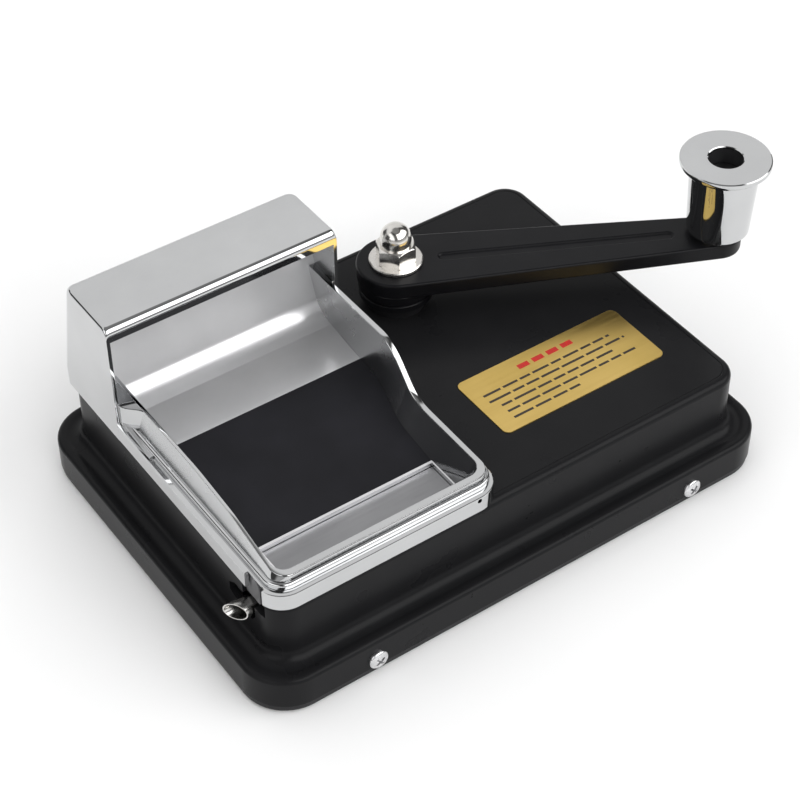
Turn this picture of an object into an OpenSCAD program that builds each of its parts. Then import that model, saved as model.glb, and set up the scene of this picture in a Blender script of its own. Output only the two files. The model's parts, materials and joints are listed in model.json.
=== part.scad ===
// Hand-cranked tabletop filling press.
// X runs to the right, Y to the back and Z up. The origin is the centre of the base
// on the surface that the machine stands on.

/* [Base] */
// Width of the base flange
base_w = 210; // [205:1:220]
// Depth of the base flange
base_d = 151; // [149:1:160]
// Height of the deck above the table
deck_z = 40; // [39:0.5:41]
// Height of the top of the flange above the table
flange_z = 15.7; // [13:0.1:18]
// Inset of the upper body from the flange on every side
body_inset = 9.1; // [8:0.1:10]
// Corner radius of the flange in plan
flange_r = 16.6; // [14:0.1:20]
// Corner radius of the upper body in plan
body_r = 9.4; // [7:0.1:12]
// Wall thickness of the base moulding
base_wall = 2.5; // [2:0.1:3]
// Thickness of the non-slip mat
mat_t = 1.2; // [0.8:0.1:2]

/* [Hopper] */
// Width of the chrome skirt on the deck
hopper_w = 88.9; // [88:0.1:90]
// Width over the raised rim
rim_w = 84; // [83:0.5:84.5]
// Wall thickness of the chrome moulding
hopper_wall = 1.8; // [1.4:0.1:2]
// Height of the low front rim above the table
rim_z = 50.7; // [50:0.1:51]
// Height of the hood above the table
hood_z = 88.5; // [84:0.5:92]
// Radius of the rounded back edge of the hood
hood_edge_r = 3.5; // [2.5:0.5:5]

/* [Crank] */
// Angle of the crank arm at rest, from the X axis
crank_angle = -27; // [-30:1:-24]
// Distance from the crank shaft to the knob
arm_len = 116.2; // [110:0.1:118]
// Thickness of the crank arm
arm_t = 6.2; // [5:0.1:6.4]
// Radius of the round end at the shaft
arm_hub_r = 14.2; // [13:0.1:15]
// Radius of the round end at the knob
arm_tip_r = 9; // [8:0.1:10]
// Height of the knob
knob_h = 30.7; // [26:0.1:34]
// Radius of the knob flange
knob_flange_r = 16.3; // [14:0.1:18]

/* [Mechanism] */
// Outer radius of the filling spoon
spoon_r = 3.1; // [2.9:0.05:3.1]
// Radial running clearance of shafts and slides
running_gap = 0.05; // [0.03:0.01:0.08]
// Play between the flanks of the sector gear and the rack
backlash = 0.12; // [0.08:0.01:0.2]

/* [Hidden] */
$fn = 96;
eps = 0.01;

// base
plate_z0 = mat_t;
plate_z1 = mat_t + 2;
body_w = base_w - 2 * body_inset;
body_d = base_d - 2 * body_inset;
deck_under = deck_z - base_wall;
flange_under = flange_z - base_wall;
mat_margin = 12;
screw_xs = [-64, 68.5];
screw_z = 6.9;
screw_r = 2;

// crank
shaft_x = 20.1;
shaft_y = 34.3;
shaft_r = 6;
shaft_z0 = 5;
arm_z0 = deck_z + 12;
arm_z1 = arm_z0 + arm_t;
spigot_r = 5;
thread_r = 4;
washer_t = 1.5;
hex_af = 13;
hex_h = 6.5;
nut_h = 14.6;
knob_pin_r = 4;
knob_washer_t = 1.7;
knob_z0 = arm_z1 + knob_washer_t + 0.3;
knob_bore_r = 6.1;
knob_bore_depth = 10.6;
neck_z = deck_z + 4.4;

// sector gear and rack
gear_module = 1.5;
gear_teeth = 64;
addendum = gear_module;
dedendum = 1.25 * gear_module;
pitch_r = gear_module * gear_teeth / 2;
tip_r = pitch_r + addendum;
root_r = pitch_r - dedendum;
pressure_angle = 20;
tooth_step = 360 / gear_teeth;
rack_pitch = PI * gear_module;
gear_z0 = 20.2;
gear_t = 5.6;
gear_pin_r = 1.5;
gear_pin_z = gear_z0 + 8;
gear_hub_r = 12;
sector_teeth = 17;
rack_y = shaft_y - pitch_r;
rack_z0 = 19.5;
rack_t = 7;
rack_back = 10;
rack_back_y = rack_y - dedendum - rack_back;
rack_x0 = 14;
rack_x1 = 91.5;

// carriage, ram and spoon
channel_y = -50;
channel_z = 30;
channel_r = spoon_r + running_gap;
carriage_x0 = 70;
carriage_x1 = 84;
rod_y = -36;
rod_z = 24;
rod_r = 4;
rod_x0 = -4;
rod_x1 = 92;
post_t = 6;
bumper_t = 1.6;
bumper_r = 7;
joint_screw_r = 1.5;

// chamber and press bar
slot_x0 = -84.5;
slot_x1 = -17.2;
slot_y0 = -51;
slot_y1 = -39.8;
block_x0 = -90;
block_x1 = -12;
block_y0 = -60;
block_y1 = -28;
tray_front_z = 39.2;
tray_back_z = 47.2;
tray_fold_y = -39.5;
tray_back_y = 9;
tray_t = 1;
press_top = 37.9;
press_gap = 0.15;
bracket_y = -14;
bracket_z0 = channel_z + 0.2;
spring_xs = [-74, -28];
finger_y0 = -56;
finger_y1 = -47.8;
finger_t = 1.8;
notch_y0 = -60.2;
notch_y1 = -50.8;
finger_foot_z = 35;
clamp_spring_z = 30;

// hopper outline
hopper_x0 = -96.7;
hopper_y0 = -67.2;
hopper_y1 = 66;
skirt_z = deck_z + 7.6;
rim_x0 = -94;
rim_x1 = rim_x0 + rim_w;
rim_y0 = -64.8;
mouth_x0 = rim_x0 + 3.3;
mouth_x1 = rim_x1 - hopper_wall;
mouth_y0 = -60.5;
hood_y0 = 28.5;
hood_wall = 1.4;
hood_top_y = 54;
hood_corner_r = 3.5;
lug_xs = [-80, -25];
lug_ys = [20, 54];
pin_hole_x = -18;
pin_hole_z = deck_z + 5.2;

// A rectangle with round corners, from one corner to the other.
module round_rect(x0, y0, x1, y1, r) {
    union() {
        translate([x0 + r, y0]) square([x1 - x0 - 2 * r, y1 - y0]);
        translate([x0, y0 + r]) square([x1 - x0, y1 - y0 - 2 * r]);
        for (x = [x0 + r, x1 - r], y = [y0 + r, y1 - r]) translate([x, y]) circle(r = r);
    }
}

// A box given by its two opposite corners.
module box(low, high) {
    translate(low) cube(high - low);
}

// A cylinder along X from x0 to x1.
module rod_x(x0, x1, y, z, r) {
    translate([x0, y, z]) rotate([0, 90, 0]) cylinder(h = x1 - x0, r = r);
}

// A flat plate of a (y, z) outline, standing across X from x0 to x1.
module side_profile(x0, x1, points) {
    translate([x0, 0, 0]) rotate([90, 0, 90]) linear_extrude(x1 - x0) polygon(points);
}

// Puts its children at the crank shaft.
module at_shaft() {
    translate([shaft_x, shaft_y, 0]) children();
}

// Puts its children at the knob.
module at_knob() {
    at_shaft() rotate([0, 0, crank_angle]) translate([arm_len, 0, 0]) children();
}

// A coil spring along Z: a round wire swept along a helix.
module coil_spring(length, coil_r, wire_r, turns) {
    sides = 6;
    per_turn = 14;
    rings = turns * per_turn;
    lift = length - 2 * wire_r;
    points = [for (i = [0:rings], k = [0:sides - 1])
        let (a = 360 * i / per_turn, b = 360 * k / sides, r = coil_r + wire_r * cos(b))
        [r * cos(a), r * sin(a), wire_r + lift * i / rings + wire_r * sin(b)]];
    walls = [for (i = [0:rings - 1], k = [0:sides - 1])
        let (j = (k + 1) % sides)
        [i * sides + k, (i + 1) * sides + k, (i + 1) * sides + j, i * sides + j]];
    start_cap = [[for (k = [0:sides - 1]) k]];
    end_cap = [[for (k = [sides - 1:-1:0]) rings * sides + k]];
    polyhedron(points = points, faces = concat(walls, start_cap, end_cap), convexity = 10);
}

// A pan-head screw along Z with its head on top and a cross recess.
module pan_screw(head_r, head_h, shank_r, length) {
    recess_w = head_r * 0.32;
    difference() {
        union() {
            cylinder(h = head_h * 0.6, r = head_r);
            translate([0, 0, head_h * 0.6]) cylinder(h = head_h * 0.4, r1 = head_r, r2 = head_r * 0.72);
            translate([0, 0, -length]) cylinder(h = length + eps, r = shank_r);
        }
        for (a = [0, 90]) rotate([0, 0, a])
            translate([-head_r * 0.6, -recess_w / 2, head_h * 0.4]) cube([head_r * 1.2, recess_w, head_h]);
    }
}

// Puts its children at each flange screw, with Z pointing out of the flange.
module at_flange_screws() {
    for (x = screw_xs) {
        translate([x, -base_d / 2, screw_z]) rotate([90, 0, 0]) children();
        translate([x, base_d / 2, screw_z]) rotate([-90, 0, 0]) children();
    }
}

// Puts its children at each screw under the chamber block.
module at_block_screws() {
    for (x = [block_x0 + 3, block_x1 - 3], y = [block_y0 + 5, block_y1 - 5]) translate([x, y, 0]) children();
}

// Puts its children at each screw lug of the hopper.
module at_lugs() {
    for (x = lug_xs, y = lug_ys) translate([x, y, 0]) children();
}

// Puts its children at each screw between the carriage and the rack.
module at_rack_screws() {
    for (x = [carriage_x0 + 3.5, carriage_x1 - 3.5]) translate([x, rack_back_y + 4.45, 0]) children();
}

// base ------------------------------------------------------------------------------

// Outline of the upper body, grown outwards by the given distance.
module body_plan(grow) {
    w = body_w / 2 + grow;
    d = body_d / 2 + grow;
    round_rect(-w, -d, w, d, body_r + grow);
}

// Outline of the flange, grown outwards by the given distance.
module flange_plan(grow) {
    w = base_w / 2 + grow;
    d = base_d / 2 + grow;
    round_rect(-w, -d, w, d, flange_r + grow);
}

// Opening in the left wall around the nozzle, as a (y, z) outline with cut corners.
nozzle_window = [[-54.2, 28], [-52, 25.5], [-46, 25.5], [-39, 28], [-39, 31.5], [-42.5, 33.8], [-54.2, 33.8]];

module base_shell() {
    fillet = 4.5;
    steps = 5;
    tray_room_y1 = 13;
    color("#232324") difference() {
        union() {
            translate([0, 0, plate_z1]) linear_extrude(flange_z - plate_z1 - 1) flange_plan(0);
            translate([0, 0, flange_z - 1 - eps]) linear_extrude(1 + eps) flange_plan(-0.6);
            translate([0, 0, plate_z1]) linear_extrude(deck_z - plate_z1 - 0.8) body_plan(0);
            translate([0, 0, deck_z - 0.8 - eps]) linear_extrude(0.8 + eps) body_plan(-0.7);
            // concave foot of the wall, in steps
            for (i = [0:steps - 1]) let (a = 90 * (i + 0.5) / steps)
                translate([0, 0, flange_z - eps]) linear_extrude(fillet * (1 - sin(a)) + eps)
                    body_plan(fillet * (1 - cos(a)));
        }
        translate([0, 0, plate_z1 - eps]) linear_extrude(flange_under - plate_z1) flange_plan(-base_wall);
        translate([0, 0, plate_z1]) linear_extrude(deck_under - plate_z1) body_plan(-base_wall);
        at_shaft() cylinder(h = deck_z + 1, r = 8);
        box([block_x0 - 2.3, mouth_y0 - 1.7, deck_under - 1], [mouth_x1 + 1.7, tray_room_y1, deck_z + 1]);
        side_profile(-body_w / 2 - 6, -body_w / 2 + 6, nozzle_window);
        box([-body_w / 2 - 6, notch_y0 + 0.4, 33], [block_x0, finger_y1 + 0.4, deck_z + 1]);
        at_lugs() cylinder(h = deck_z + 1, r = 1.7);
        at_flange_screws() translate([0, 0, -6]) cylinder(h = 7, r = screw_r + 0.2);
    }
}

module bottom_plate() {
    tab_w = 14;
    tab_t = 2;
    tab_y = base_d / 2 - base_wall;
    color("#3a3b3d") difference() {
        union() {
            translate([0, 0, plate_z0]) linear_extrude(plate_z1 - plate_z0) flange_plan(-0.4);
            for (x = screw_xs) {
                box([x - tab_w / 2, -tab_y, plate_z1 - eps], [x + tab_w / 2, -tab_y + tab_t, 12]);
                box([x - tab_w / 2, tab_y - tab_t, plate_z1 - eps], [x + tab_w / 2, tab_y, 12]);
            }
        }
        at_flange_screws() translate([0, 0, -8]) cylinder(h = 9, r = screw_r);
        at_block_screws() cylinder(h = 5, r = joint_screw_r + 0.1);
    }
}

module non_slip_mat() {
    color("#1b1b1b") difference() {
        linear_extrude(mat_t) flange_plan(-mat_margin);
        at_block_screws() translate([0, 0, -eps]) cylinder(h = mat_t + 1, r = 4);
    }
}

module flange_screws() {
    color("#c9cbcd") at_flange_screws() pan_screw(3.6, 1.8, screw_r, 7);
}

module label_plate() {
    color("#c8a052") translate([0, 0, deck_z]) linear_extrude(0.4) round_rect(10.6, -44, 80, -14.5, 2.5);
}

// hopper ----------------------------------------------------------------------------

// Side outline of the hood, moved inwards by the given wall.
function hood_profile(wall) =
    let (r = hood_edge_r - wall, cy = hood_top_y, cz = hood_z - hood_edge_r)
    concat(
        [[hood_y0 - wall * 2, deck_z - wall], [hood_y0 - wall * 2, hood_z - wall]],
        [for (a = [90:-15:15]) [cy + r * cos(a), cz + r * sin(a)]],
        [[hopper_y1 - wall, skirt_z], [hopper_y1 - wall, deck_z - wall]]
    );

// Top line of the right wall, from the front rim to the hood.
right_rail = [[-62, rim_z], [-54, 51], [-26, 51.2], [-20, 53.4], [-11, 63.2], [-4.5, 67.2], [29, 66.7]];

// Top line of the left wall, from the front rim to the hood.
left_rail = [[-62, rim_z], [-55, 52], [-35.5, 56.7], [-15.5, 58.7], [29, 59.2]];

// Outline of a side wall below its top line.
function wall_profile(rail) = concat(rail, [[29, skirt_z - 1], [-62, skirt_z - 1]]);

module hopper_plan(inset) {
    x1 = hopper_x0 + hopper_w - inset;
    round_rect(hopper_x0 + inset, hopper_y0 + inset, x1, hopper_y1 - inset, body_r - inset);
}

module rim_plan() {
    round_rect(rim_x0, rim_y0, rim_x1, hood_y0 + 8, 8);
}

module mouth_plan() {
    round_rect(mouth_x0, mouth_y0, mouth_x1, hood_y0 + 4, 6);
}

// Inside of the hood as seen from above.
module hood_room_plan() {
    x1 = hopper_x0 + hopper_w;
    round_rect(hopper_x0 + hood_wall, 0, x1 - hood_wall, hopper_y1 + 5, hood_corner_r - hood_wall);
}

module hood_plan() {
    round_rect(hopper_x0, 0, hopper_x0 + hopper_w, hopper_y1, hood_corner_r);
}

module hopper_shell() {
    skirt_wall = 1.8;
    lip_h = 5;
    lip_t = 1.2;
    lip_x1 = hopper_x0 + hopper_w - 1;
    color("#d9dadc") union() {
        difference() {
            union() {
                translate([0, 0, deck_z]) linear_extrude(skirt_z - deck_z) hopper_plan(0);
                translate([0, 0, skirt_z - eps]) linear_extrude(rim_z - skirt_z) rim_plan();
                side_profile(rim_x0 + 1.5, mouth_x0, wall_profile(left_rail));
                side_profile(mouth_x1, rim_x1, wall_profile(right_rail));
                intersection() {
                    side_profile(hopper_x0, hopper_x0 + hopper_w, hood_profile(0));
                    translate([0, 0, deck_z]) linear_extrude(hood_z) hood_plan();
                }
            }
            translate([0, 0, deck_z - 1]) linear_extrude(skirt_z - deck_z - 0.8) hopper_plan(skirt_wall);
            translate([0, 0, deck_z - 1]) linear_extrude(60) intersection() {
                mouth_plan();
                translate([hopper_x0, hopper_y0]) square([hopper_w, hood_y0 - hopper_y0 + 1]);
            }
            intersection() {
                side_profile(hopper_x0, hopper_x0 + hopper_w, hood_profile(hood_wall));
                translate([0, 0, deck_z - 1]) linear_extrude(hood_z) hood_room_plan();
            }
            // notch in the skirt, and room behind it for the clamp finger
            box([hopper_x0 - 1, notch_y0, deck_z - 1], [hopper_x0 + 1.5, notch_y1, deck_z + 7]);
            box([hopper_x0 + 1.4, notch_y0, deck_z - 1], [hopper_x0 + 4, finger_y1 + 0.6, deck_z + 7]);
            skirt_pin_hole();
        }
        // funnel walls that run down to the tray
        difference() {
            translate([0, 0, tray_front_z + 0.05]) linear_extrude(skirt_z - tray_front_z)
                round_rect(mouth_x0 - 1.2, mouth_y0 - 1.2, mouth_x1 + 1.2, tray_back_y + 4, 7);
            translate([0, 0, tray_front_z - 1]) linear_extrude(20) mouth_plan();
        }
        // rolled front lip of the hood
        box([hopper_x0 + 1, hood_y0, hood_z - lip_h], [lip_x1, hood_y0 + lip_t, hood_z - 1]);
        // closed foot of the hood with its screw lugs
        difference() {
            union() {
                box([hopper_x0 + 1, 14, deck_z], [lip_x1, hopper_y1 - 8, deck_z + 1.5]);
                at_lugs() translate([0, 0, deck_z]) cylinder(h = 5, r = 4);
            }
            at_lugs() translate([0, 0, deck_z - 1]) cylinder(h = 5, r = joint_screw_r);
        }
    }
}

// Small pin hole in the front of the skirt.
module skirt_pin_hole() {
    translate([pin_hole_x, hopper_y0 - 1, pin_hole_z]) rotate([-90, 0, 0]) cylinder(h = 4, r = 0.8);
}

module hopper_screws() {
    color("#b9bbbd") at_lugs() translate([0, 0, deck_under])
        rotate([180, 0, 0]) pan_screw(3, 1.8, joint_screw_r, 6);
}

// Bent sheet behind the mouth: a concave back and a short apron down to the tray.
module hopper_liner() {
    top = [hood_y0 + 19, hood_z - 6];
    fold = [hood_y0 - 1, tray_back_z + 2];
    apron = [tray_back_y + 0.2, tray_back_z];
    sag = [5.6, -4.2];
    steps = 10;
    front = [for (i = [0:steps]) let (t = i / steps) top + (fold - top) * t + sag * 4 * t * (1 - t)];
    back = [for (i = [steps:-1:0]) [front[i][0] + 1, front[i][1] - 0.8]];
    outline = concat(front, [apron, [apron[0], apron[1] - 1]], back);
    color("#cfd0d2") side_profile(mouth_x0 + 0.1, mouth_x1 - 0.1, outline);
}

module hopper_tray() {
    slope = [[tray_fold_y, tray_front_z - tray_t], [tray_fold_y, tray_front_z], [tray_back_y, tray_back_z],
        [tray_back_y, tray_back_z - tray_t]];
    x0 = mouth_x0 + 0.1;
    x1 = mouth_x1 - 0.1;
    color("#1f2022") difference() {
        union() {
            side_profile(x0, x1, slope);
            translate([0, 0, tray_front_z - tray_t]) linear_extrude(tray_t)
                round_rect(x0, mouth_y0 + 0.1, x1, tray_fold_y + 5.9, 5.9);
        }
        box([slot_x0 - 1, slot_y0 - 1, tray_front_z - 3], [slot_x1 + 1, slot_y1 + 1, tray_front_z + 3]);
        box([x0 - 1, tray_fold_y, tray_front_z - 3], [x1 + 1, tray_fold_y + 8, tray_front_z - tray_t - eps]);
    }
}

// Bright rim round the loading slot, lower along the front.
module chamber_frame() {
    z0 = tray_front_z - tray_t - 0.05;
    front_z = z0 + 0.3;
    top_z = tray_front_z + 0.5;
    color("#c4c6c8") difference() {
        translate([0, 0, z0]) linear_extrude(top_z - z0)
            round_rect(slot_x0 - 1, slot_y0 - 1, slot_x1 + 1, slot_y1 + 1, 0.8);
        box([slot_x0, slot_y0, z0 - 1], [slot_x1, slot_y1, top_z + 1]);
        box([slot_x0 - 2, slot_y0 - 2, front_z], [slot_x1, slot_y0 + 1, top_z + 1]);
    }
}

module chamber_block() {
    leg = 6;
    bridge_z = 16;
    color("#8d9093") difference() {
        union() {
            box([block_x0, block_y0, bridge_z], [block_x1, block_y1, tray_front_z - tray_t - 0.05]);
            box([block_x0, block_y0, plate_z1], [block_x0 + leg, block_y1, bridge_z + 1]);
            box([block_x1 - leg, block_y0, plate_z1], [block_x1, block_y1, bridge_z + 1]);
            // ledge under the clamp spring
            translate([block_x0 - 3.1, block_y0, clamp_spring_z - 3]) cube([4, 3.4, 3]);
        }
        box([slot_x0 - 0.2, slot_y0 - 0.2, press_top - 3.2], [slot_x1 + 0.2, block_y1 + 1, deck_z]);
        box([slot_x0 - 0.2, channel_y - channel_r, channel_z], [slot_x1 + 0.2, block_y1 + 1, press_top]);
        rod_x(block_x0 - 1, block_x1 + 1, channel_y, channel_z, channel_r);
        rod_x(block_x0 - 1, block_x0 + 5, channel_y, channel_z, spoon_r + 0.4);
        at_block_screws() cylinder(h = 13, r = joint_screw_r);
    }
}

module block_screws() {
    color("#b9bbbd") at_block_screws() translate([0, 0, plate_z0])
        rotate([180, 0, 0]) pan_screw(3.2, 1, joint_screw_r, 10);
}

// Filling nozzle: a thin tube with its mouth cut at a slant, longest at the back.
module nozzle() {
    tip_x = -103.1;
    slant = 54;
    color("#b4b6b8") difference() {
        rod_x(tip_x, block_x0 + 5, channel_y, channel_z, spoon_r + 0.4);
        rod_x(tip_x - 1, block_x0 + 6, channel_y, channel_z, spoon_r + running_gap);
        translate([tip_x, channel_y + spoon_r + 0.4, channel_z]) rotate([0, 0, -slant])
            translate([-20, -40, -10]) cube([40, 40, 20]);
    }
}

// Press bar: a plate that closes the loading slot, with a nose that packs the channel.
module press_bar() {
    x0 = slot_x0 + press_gap;
    x1 = slot_x1 - press_gap;
    nose_y = channel_y + channel_r + 0.4;
    color("#9c9ea0") union() {
        box([x0, slot_y0 + press_gap, press_top - 3], [x1, slot_y1, press_top]);
        box([x0, nose_y, channel_z + 0.2], [x1, slot_y1, press_top - 1]);
    }
}

module press_springs() {
    spring_z = 33.6;
    color("#a7a9ab") for (x = spring_xs) translate([x, slot_y1, spring_z])
        rotate([-90, 0, 0]) coil_spring(bracket_y - slot_y1, 1.6, 0.3, 14);
}

module spring_bracket() {
    z1 = 36.6;
    strip_t = 1.6;
    arm_w = 4;
    color("#77797c") union() {
        box([block_x0, bracket_y, bracket_z0], [block_x1, bracket_y + strip_t, z1]);
        box([block_x0, block_y1, bracket_z0], [block_x0 + arm_w, bracket_y + eps, z1]);
        box([block_x1 - arm_w, block_y1, bracket_z0], [block_x1, bracket_y + eps, z1]);
    }
}

// Clamp finger that holds the paper tube on the nozzle.
module clamp_finger() {
    x0 = hopper_x0 + 1.9;
    x1 = x0 + finger_t;
    half = (finger_y1 - finger_y0) / 2;
    top_z = skirt_z - 2.4;
    color("#3c3d40") union() {
        box([x0, finger_y0, finger_foot_z], [x1, finger_y1, top_z - half]);
        rod_x(x0, x1, finger_y0 + half, top_z - half, half);
        box([x1 - eps, notch_y0 + 0.8, finger_foot_z], [block_x0 - 0.8, finger_y0 + 2.5, finger_foot_z + 1.6]);
    }
}

module clamp_spring() {
    color("#a7a9ab") translate([block_x0 - 1.95, block_y0 + 1.7, clamp_spring_z])
        coil_spring(finger_foot_z - clamp_spring_z, 0.9, 0.2, 7);
}

// drive -----------------------------------------------------------------------------

// Spoon: a half-round gutter that carries the filling out through the nozzle.
module spoon() {
    wall = 0.4;
    color("#b9bbbd") difference() {
        rod_x(slot_x0 + 0.5, block_x1 + 2, channel_y, channel_z, spoon_r);
        rod_x(slot_x0 - 1, block_x1 + 3, channel_y, channel_z, spoon_r - wall);
        box([slot_x0 - 1, channel_y - 5, channel_z], [slot_x1, channel_y + 5, channel_z + 5]);
    }
}

module ram_rod() {
    color("#a9abad") union() {
        rod_x(slot_x1 + 1, block_x1 + 2 + eps, channel_y, channel_z, spoon_r - 0.4);
        rod_x(block_x1 + 2, carriage_x1, channel_y, channel_z, spoon_r);
    }
}

module carriage() {
    back_y = rack_back_y - 0.05;
    front_y = -56;
    top_z = 35;
    lug_z = rack_z0 + rack_t;
    color("#86898c") difference() {
        union() {
            box([carriage_x0, front_y, rack_z0], [carriage_x1, back_y, top_z]);
            box([carriage_x0, back_y - eps, lug_z], [carriage_x1, back_y + 8.5, lug_z + 3]);
        }
        rod_x(carriage_x0 - 1, carriage_x1 + 1, channel_y, channel_z, spoon_r);
        rod_x(carriage_x0 - 1, carriage_x1 + 1, rod_y, rod_z, rod_r + running_gap);
        at_rack_screws() translate([0, 0, rack_z0]) cylinder(h = 20, r = joint_screw_r);
    }
}

// Rack teeth as an outline: one gap faces the sector at the shaft's X.
module rack_outline() {
    half = PI * gear_module / 4 - backlash;
    slope = tan(pressure_angle);
    foot = half + dedendum * slope;
    crest = half - addendum * slope;
    first = floor((rack_x0 + 3 - shaft_x) / rack_pitch);
    last = floor((rack_x1 - 3 - shaft_x) / rack_pitch) - 1;
    union() {
        translate([rack_x0, rack_back_y]) square([rack_x1 - rack_x0, rack_back]);
        for (k = [first:last]) translate([shaft_x + (k + 0.5) * rack_pitch, rack_y])
            polygon([[-foot, -dedendum], [foot, -dedendum], [crest, addendum], [-crest, addendum]]);
    }
}

module rack() {
    color("#5f6265") difference() {
        translate([0, 0, rack_z0]) linear_extrude(rack_t) rack_outline();
        at_rack_screws() translate([0, 0, rack_z0 + 1]) cylinder(h = 10, r = joint_screw_r);
    }
}

module rack_screws() {
    color("#b9bbbd") at_rack_screws() translate([0, 0, rack_z0 + rack_t + 3])
        pan_screw(2.8, 1.6, joint_screw_r, 8);
}

// Channel strip, open below, that the back of the rack slides along.
module rack_guide() {
    x0 = -54;
    x1 = 92;
    y0 = rack_back_y + 1;
    y1 = y0 + 7;
    wall = 1.5;
    top = rack_z0 - 0.3;
    color("#6d7073") difference() {
        box([x0, y0, plate_z1], [x1, y1, top]);
        box([x0 - 1, y0 + wall, plate_z1 - 1], [x1 + 1, y1 - wall, top - wall]);
    }
}

module guide_rod() {
    color("#c2c4c6") rod_x(rod_x0, rod_x1, rod_y, rod_z, rod_r);
}

module guide_posts() {
    half = 7;
    color("#77797c") for (x = [rod_x0, rod_x1 - post_t]) difference() {
        box([x, rod_y - half, plate_z1], [x + post_t, rod_y + half, rod_z + half]);
        rod_x(x - 1, x + post_t + 1, rod_y, rod_z, rod_r);
    }
}

// Rubber rings on the guide rod that the carriage stops against.
module stop_bumpers() {
    color("#222222") for (x = [rod_x0 + post_t, rod_x1 - post_t - bumper_t]) difference() {
        rod_x(x, x + bumper_t, rod_y, rod_z, bumper_r);
        rod_x(x - 1, x + bumper_t + 1, rod_y, rod_z, rod_r);
    }
}

module bearing_block() {
    color("#77797c") at_shaft() difference() {
        union() {
            translate([0, 0, plate_z1]) cylinder(h = 3, r = 20);
            translate([0, 0, plate_z1]) cylinder(h = 12, r = 13);
        }
        translate([0, 0, plate_z1 + 1]) cylinder(h = 12, r = 9);
    }
}

module lower_bush() {
    color("#b08d57") at_shaft() difference() {
        union() {
            translate([0, 0, plate_z1 + 1]) cylinder(h = 11, r = 9);
            translate([0, 0, plate_z1 + 12]) cylinder(h = 2, r = 12);
        }
        translate([0, 0, plate_z1 + 0.5]) cylinder(h = 20, r = shaft_r + running_gap);
    }
}

module upper_bush() {
    color("#2a2a2b") at_shaft() difference() {
        union() {
            translate([0, 0, deck_under - 4]) cylinder(h = neck_z - deck_under + 4, r = 8);
            translate([0, 0, deck_z]) cylinder(h = neck_z - deck_z, r = 10.5);
            translate([0, 0, deck_under - 4]) cylinder(h = 4, r = 12);
        }
        translate([0, 0, deck_under - 5]) cylinder(h = 20, r = shaft_r + running_gap);
    }
}

module crank_shaft() {
    color("#a9abad") at_shaft() difference() {
        union() {
            translate([0, 0, shaft_z0]) cylinder(h = arm_z0 - shaft_z0, r = shaft_r);
            translate([0, 0, arm_z0 - eps]) cylinder(h = arm_t + 2 * eps, r = spigot_r);
            translate([0, 0, arm_z1]) cylinder(h = washer_t + hex_h + 3, r = thread_r);
        }
        translate([0, 0, gear_pin_z]) rotate([90, 0, 0]) cylinder(h = 40, r = gear_pin_r, center = true);
    }
}

// One flank of a sector tooth: half angle of the tooth at a radius, from the involute.
function involute(a) = tan(a) * 180 / PI - a;
function half_angle(r) =
    let (base_r = pitch_r * cos(pressure_angle), thin = backlash / pitch_r * 180 / PI)
    tooth_step / 4 - thin + involute(pressure_angle) - involute(acos(base_r / r));

module sector_gear() {
    flank = [for (i = [0:4]) root_r + (tip_r - root_r) * i / 4];
    start = -90 - tooth_step;
    end = start + sector_teeth * tooth_step;
    // Each tooth goes up one flank and down the other.
    rim = [for (k = [0:sector_teeth - 1]) each concat(
        [for (r = flank) let (a = start + k * tooth_step - half_angle(r)) [r * cos(a), r * sin(a)]],
        [for (i = [4:-1:0]) let (r = flank[i], a = start + k * tooth_step + half_angle(r))
            [r * cos(a), r * sin(a)]])];
    outline = concat([[gear_hub_r * cos(start - 60), gear_hub_r * sin(start - 60)]], rim,
        [[gear_hub_r * cos(end + 50), gear_hub_r * sin(end + 50)]]);
    color("#6a6d70") at_shaft() difference() {
        union() {
            translate([0, 0, gear_z0]) linear_extrude(gear_t) polygon(outline);
            translate([0, 0, gear_z0]) cylinder(h = 12, r = gear_hub_r);
        }
        translate([0, 0, gear_z0 - 1]) cylinder(h = 20, r = shaft_r);
        translate([0, 0, gear_pin_z]) rotate([90, 0, 0]) cylinder(h = 40, r = gear_pin_r, center = true);
        // lightening holes
        for (a = [-78, -47, -16]) rotate(a) translate([29, 0, gear_z0 - 1]) cylinder(h = 10, r = 6.5);
    }
}

module gear_pin() {
    color("#d0d2d4") at_shaft() translate([0, 0, gear_pin_z]) rotate([90, 0, 0])
        cylinder(h = 2 * gear_hub_r, r = gear_pin_r, center = true);
}

module thrust_washer() {
    color("#b08d57") at_shaft() translate([0, 0, gear_z0 + 12.1]) difference() {
        cylinder(h = 1, r = 10);
        translate([0, 0, -1]) cylinder(h = 4, r = shaft_r + running_gap);
    }
}

// Collar under the arm, with a shallow ring groove.
module boss_collar() {
    low = neck_z + 0.3;
    groove_z = low + 3;
    groove_h = 0.6;
    color("#242425") at_shaft() difference() {
        union() {
            translate([0, 0, low]) cylinder(h = groove_z - low, r = 13.4);
            translate([0, 0, groove_z]) cylinder(h = groove_h, r = 12.8);
            translate([0, 0, groove_z + groove_h]) cylinder(h = arm_z0 - groove_z - groove_h, r = 13.6);
        }
        translate([0, 0, neck_z]) cylinder(h = 20, r = shaft_r);
    }
}

// Points on an arc about (x, 0), from angle a0 to a1.
function arc_points(x, r, a0, a1, steps) =
    [for (i = [0:steps]) let (a = a0 + (a1 - a0) * i / steps) [x + r * cos(a), r * sin(a)]];

// Outline of the arm: two round ends joined by straight tangents, along X from the shaft.
module arm_plan(hub, tip) {
    tilt = asin((hub - tip) / arm_len);
    polygon(concat(
        arc_points(arm_len, tip, tilt - 90, 90 - tilt, 16),
        arc_points(0, hub, 90 - tilt, 270 + tilt, 24)
    ));
}

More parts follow.
